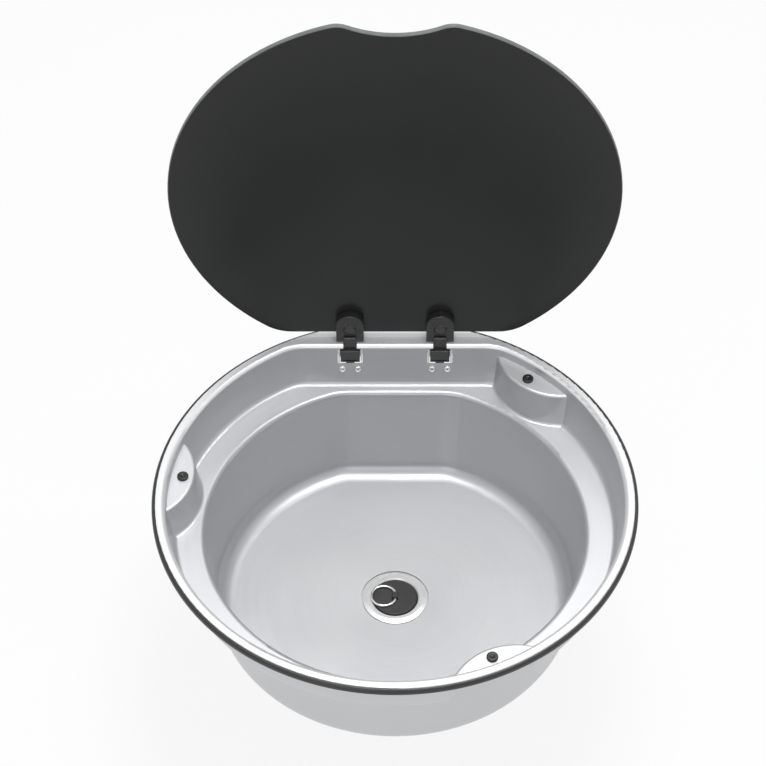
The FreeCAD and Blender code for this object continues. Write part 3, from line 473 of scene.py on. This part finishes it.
def turnedPieces(name, profile, places, material, sides, sharp, turn=(0.0, 0.0, 0.0), cross=None):
    source = pointObject(name + "Profile", [(radius, 0.0, height) for radius, height in profile])
    spots = pointObject(name + "Places", places)
    tree = turnedTree(name + "Tree", cross is not None)
    modifier = source.modifiers.new("turned", "NODES")
    modifier.node_group = tree
    values = {
        "Places": spots,
        "Sides": sides,
        "Rows": len(profile),
        "Turn": turn,
        "Material": material,
    }
    if cross:
        values["Cross Size"] = cross["size"]
        values["Cross Height"] = cross["height"]
    for item in tree.interface.items_tree:
        if item.in_out == "INPUT" and item.name in values:
            modifier[item.identifier] = values[item.name]
    graph = bpy.context.evaluated_depsgraph_get()
    mesh = bpy.data.meshes.new_from_object(source.evaluated_get(graph), depsgraph=graph)
    source.modifiers.clear()
    bpy.data.objects.remove(source)
    bpy.data.objects.remove(spots)
    work = bmesh.new()
    work.from_mesh(mesh)
    bmesh.ops.remove_doubles(work, verts=work.verts, dist=weldDistance)
    bmesh.ops.recalc_face_normals(work, faces=work.faces)
    work.to_mesh(mesh)
    work.free()
    setSharp(mesh, sharp)
    mesh.name = name
    print(name, "done:", len(places), "of them,", len(mesh.polygons), "faces")
    return addObject(name, mesh)


def roundCorner(centre, radius, start, end, steps):
    points = []
    for step in range(steps + 1):
        angle = math.radians(start + (end - start) * step / steps)
        points.append((centre[0] + radius * math.cos(angle), centre[1] + radius * math.sin(angle)))
    return points


# rubber bumpers, pushed into the three bosses
bumperSet = {
    "nodes": ["bumper_right", "bumper_left", "bumper_front"],
    "headRadius": 0.005,
    "headHeight": 0.0026,
    "edgeRound": 0.0009,
    "edgeSteps": 5,
    "dimpleRadius": 0.0019,
    "dimpleDepth": 0.0009,
    "dimpleSlope": 0.7,        # part of radius and depth at which its side turns into its bottom
    "lipWidth": 0.0004,        # softened edge of the dimple
    "lipDrop": 0.0001,
    "stemRadius": 0.002,
    "stemLength": 0.004,
    "barbRadius": 0.0032,
    "barbTip": 0.0016,
    "barbHeight": 0.5,         # part of the stem's length
    "barbEdge": 0.0004,
    "sides": 48,
    "sharp": 50.0,
}


def bumperProfile():
    size = bumperSet
    top = size["headHeight"]
    crown = (size["headRadius"] - size["edgeRound"], top - size["edgeRound"])
    barb = -size["barbHeight"] * size["stemLength"]
    slope = size["dimpleSlope"]
    return [
        (0.0, -size["stemLength"]),
        (size["barbTip"], -size["stemLength"]),
        (size["barbRadius"], barb - size["barbEdge"]),
        (size["barbRadius"], barb),
        (size["stemRadius"], barb),
        (size["stemRadius"], 0.0),
        (size["headRadius"], 0.0),
        *roundCorner(crown, size["edgeRound"], 0.0, 90.0, size["edgeSteps"]),
        (size["dimpleRadius"] + size["lipWidth"], top),
        (size["dimpleRadius"], top - size["lipDrop"]),
        (slope * size["dimpleRadius"], top - slope * size["dimpleDepth"]),
        (0.0, top - size["dimpleDepth"]),
    ]


def makeBumpers():
    places = []
    for name in bumperSet["nodes"]:
        low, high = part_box(name)
        middle = 0.5 * (low + high)
        places.append((middle.x, middle.y, high.z - bumperSet["headHeight"]))
    bumpers = turnedPieces("bumpers", bumperProfile(), places, finishes["bumper_rubber"],
                           bumperSet["sides"], bumperSet["sharp"])
    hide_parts(*bumperSet["nodes"])
    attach(bumpers, "basin_body")


makeBumpers()


# screws that hold the hinge brackets to the back wall, square to its lean
screwSet = {
    "nodes": ["left_bracket_screws", "right_bracket_screws"],
    "headRadius": 0.0032,
    "headHeight": 0.0022,
    "headRound": 0.0009,
    "roundTurn": 80.0,         # degrees of the head's edge that are rounded
    "roundSteps": 5,
    "dishRadius": 0.0024,
    "dishDepth": 0.0005,
    "dishFloor": 0.8,          # part of the radius at which its side turns into its floor
    "dishDrop": 0.0001,
    "shankRadius": 0.00175,
    "shankLength": 0.006,
    "tipShare": 0.7,           # part of the shank's radius left at its tip
    "tipLength": 0.0006,
    "crossLength": 0.0042,
    "crossWidth": 0.0011,
    "crossDepth": 0.0012,
    "wall": 0.1753,            # back wall at the height of the screws
    "height": -0.0197,
    "lean": 6.97,              # degrees that the wall leans back
    "sides": 40,
    "sharp": 35.0,
}


def screwProfile():
    size = screwSet
    top = size["headHeight"]
    crown = (size["headRadius"] - size["headRound"], top - size["headRound"])
    return [
        (0.0, -size["shankLength"]),
        (size["tipShare"] * size["shankRadius"], -size["shankLength"]),
        (size["shankRadius"], -size["shankLength"] + size["tipLength"]),
        (size["shankRadius"], 0.0),
        (size["headRadius"], 0.0),
        *roundCorner(crown, size["headRound"], 0.0, size["roundTurn"], size["roundSteps"]),
        (size["dishRadius"], top - size["dishDrop"]),
        (size["dishFloor"] * size["dishRadius"], top - size["dishDepth"]),
        (0.0, top - size["dishDepth"]),
    ]


def makeScrews():
    size = screwSet
    places = []
    for name in size["nodes"]:
        low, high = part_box(name)
        for x in (low.x + size["headRadius"], high.x - size["headRadius"]):
            places.append((x, size["wall"], size["height"]))
    cross = {
        "size": (size["crossLength"], size["crossWidth"], 2.0 * size["crossDepth"]),
        "height": (0.0, 0.0, size["headHeight"]),
    }
    turn = (math.radians(90.0 - size["lean"]), 0.0, 0.0)
    screws = turnedPieces("bracketScrews", screwProfile(), places, finishes["screw_steel"],
                          size["sides"], size["sharp"], turn, cross)
    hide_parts(*screwSet["nodes"])
    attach(screws, "basin_body")


makeScrews()


# rim seal: a bead outside the flange, with grooves underneath that grip the worktop
sealSet = {
    "innerRadius": 0.2062,
    "outerRadius": 0.213,
    "beadTop": 0.0055,
    "beadRound": 0.0024,
    "beadSteps": 9,
    "footRound": 0.0007,
    "footSteps": 4,
    "flangeOutside": 0.2103,
    "flangeInside": 0.2089,
    "hemLow": 0.0036,
    "underFlange": 0.0057,
    "grooveWidth": 0.0008,
    "grooveFloor": 0.5,        # part of its width
    "grooveDepth": 0.0006,
    "grooves": [0.2077, 0.2094],
    "sides": 288,
    "sharp": 40.0,
}


def sealProfile():
    size = sealSet
    half = 0.5 * size["grooveWidth"]
    halfFloor = size["grooveFloor"] * half
    points = [(size["innerRadius"], 0.0)]
    for middle in size["grooves"]:
        points += [
            (middle - half, 0.0),
            (middle - halfFloor, size["grooveDepth"]),
            (middle + halfFloor, size["grooveDepth"]),
            (middle + half, 0.0),
        ]
    foot = (size["outerRadius"] - size["footRound"], size["footRound"])
    bead = (size["outerRadius"] - size["beadRound"], size["beadTop"] - size["beadRound"])
    points += roundCorner(foot, size["footRound"], -90.0, 0.0, size["footSteps"])
    points += roundCorner(bead, size["beadRound"], 0.0, 90.0, size["beadSteps"])
    points += [
        (size["flangeOutside"], size["beadTop"]),
        (size["flangeOutside"], size["hemLow"]),
        (size["flangeInside"], size["hemLow"]),
        (size["flangeInside"], size["underFlange"]),
        (size["innerRadius"], size["underFlange"]),
        (size["innerRadius"], 0.0),
    ]
    return points


def makeRimSeal():
    seal = turnedPieces("rimSeal", sealProfile(), [(0.0, 0.0, 0.0)], finishes["seal_rubber"],
                        sealSet["sides"], sealSet["sharp"])
    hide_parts("rim_seal")
    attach(seal, "basin_body")


makeRimSeal()


# glass lid: the same sheet, with a ground edge of its own finish
glassSet = {
    "node": "lid_glass",
    "faceShare": 0.9,          # a face this square to the sheet is polished, the rest is ground
    "sharp": 30.0,
    "edge": {
        "colours": ((0.1, 0.11, 0.105), (0.16, 0.17, 0.165)),
        "rough": (0.34, 0.46),
        "grain": 900.0,
        "bump": 0.1,
    },
}


def makeGlass():
    mesh = nodes[glassSet["node"]].data.copy()
    mesh.name = "glassSheet"
    if "custom_normal" in mesh.attributes:
        mesh.attributes.remove(mesh.attributes["custom_normal"])
    mesh.materials.clear()
    mesh.materials.append(finishes["tinted_glass"])
    mesh.materials.append(grainedFinish("groundGlassEdge", {**mouldedSet, **glassSet["edge"]}))
    work = bmesh.new()
    work.from_mesh(mesh)
    bmesh.ops.remove_doubles(work, verts=work.verts, dist=weldDistance)
    for face in work.faces:
        face.material_index = 0 if abs(face.normal.y) > glassSet["faceShare"] else 1
    work.to_mesh(mesh)
    work.free()
    setSharp(mesh, glassSet["sharp"])
    glass = addObject("glassSheet", mesh)
    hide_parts(glassSet["node"])
    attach(glass, "lid")
    print("glass done:", len(mesh.polygons), "faces")


makeGlass()


# floor, world and lamps
stageSet = {
    "floorSize": 8.0,           # metres from the middle to each side
    "floorGap": 0.002,          # floor below the lowest point of the part
    "floorColour": (0.88, 0.88, 0.89),
    "whiteShare": 0.86,         # how much of the floor is plain white to the camera
    "worldFrom": -0.1,          # the world brightens between these two, 0 level and 1 overhead
    "worldFull": 0.9,
    "worldLow": 0.52,
    "worldHigh": 0.62,
}
lamps = [
    {"name": "overhead", "place": (0.15, 0.25, 1.8), "size": 1.0, "power": 25.0},
    {"name": "front", "place": (-0.5, -1.8, 0.9), "size": 1.2, "power": 6.0},
]


def seenPlainly(tree):
    # 1 for camera, glossy and transmission rays, which see the backdrop as white
    path = addNode(tree, "ShaderNodeLightPath")
    glossy = maths(tree, "MAXIMUM", path.outputs["Is Camera Ray"], path.outputs["Is Glossy Ray"])
    return maths(tree, "MAXIMUM", glossy, path.outputs["Is Transmission Ray"])


def mixWith(tree, share, shader, white, output):
    mix = addNode(tree, "ShaderNodeMixShader")
    linkTo(tree, share, mix, "Fac")
    linkTo(tree, shader, mix, 1)
    linkTo(tree, white, mix, 2)
    linkTo(tree, mix.outputs["Shader"], output, "Surface")


def makeFloor():
    size = stageSet["floorSize"]
    low = cadBox[0].z - stageSet["floorGap"]
    corners = [(-size, -size, low), (size, -size, low), (size, size, low), (-size, size, low)]
    mesh = bpy.data.meshes.new("floor")
    mesh.from_pydata(corners, [], [(0, 1, 2, 3)])
    material = bpy.data.materials.new("floor")
    tree, output = clearTree(material, "ShaderNodeOutputMaterial")
    diffuse = addNode(tree, "ShaderNodeBsdfDiffuse")
    diffuse.inputs["Color"].default_value = (*stageSet["floorColour"], 1.0)
    white = addNode(tree, "ShaderNodeEmission")
    share = maths(tree, "MULTIPLY", seenPlainly(tree), stageSet["whiteShare"])
    mixWith(tree, share, diffuse.outputs["BSDF"], white.outputs["Emission"], output)
    mesh.materials.append(material)
    floor = addObject("floor", mesh)


def makeWorld():
    world = bpy.data.worlds.new("studio")
    bpy.context.scene.world = world
    tree, output = clearTree(world, "ShaderNodeOutputWorld")
    height = splitPlace(tree, addNode(tree, "ShaderNodeTexCoord").outputs["Generated"])[2]
    level = ramp(tree, height, stageSet["worldFrom"], stageSet["worldFull"],
                 stageSet["worldLow"], stageSet["worldHigh"])
    light = addNode(tree, "ShaderNodeBackground")
    linkTo(tree, level, light, "Strength")
    white = addNode(tree, "ShaderNodeBackground")
    white.inputs["Color"].default_value = (1.0, 1.0, 1.0, 1.0)
    mixWith(tree, seenPlainly(tree), light.outputs["Background"],
            white.outputs["Background"], output)


def makeLamps():
    for values in lamps:
        data = bpy.data.lights.new(values["name"], "AREA")
        data.shape = "DISK"
        data.size = values["size"]
        data.energy = values["power"]
        lamp = addObject(values["name"], data)
        lamp.location = values["place"]
        aim = -Vector(values["place"])       # at the middle of the sink
        lamp.rotation_euler = aim.to_track_quat("-Z", "Y").to_euler()


makeFloor()
makeWorld()
makeLamps()
print("stage and light done")
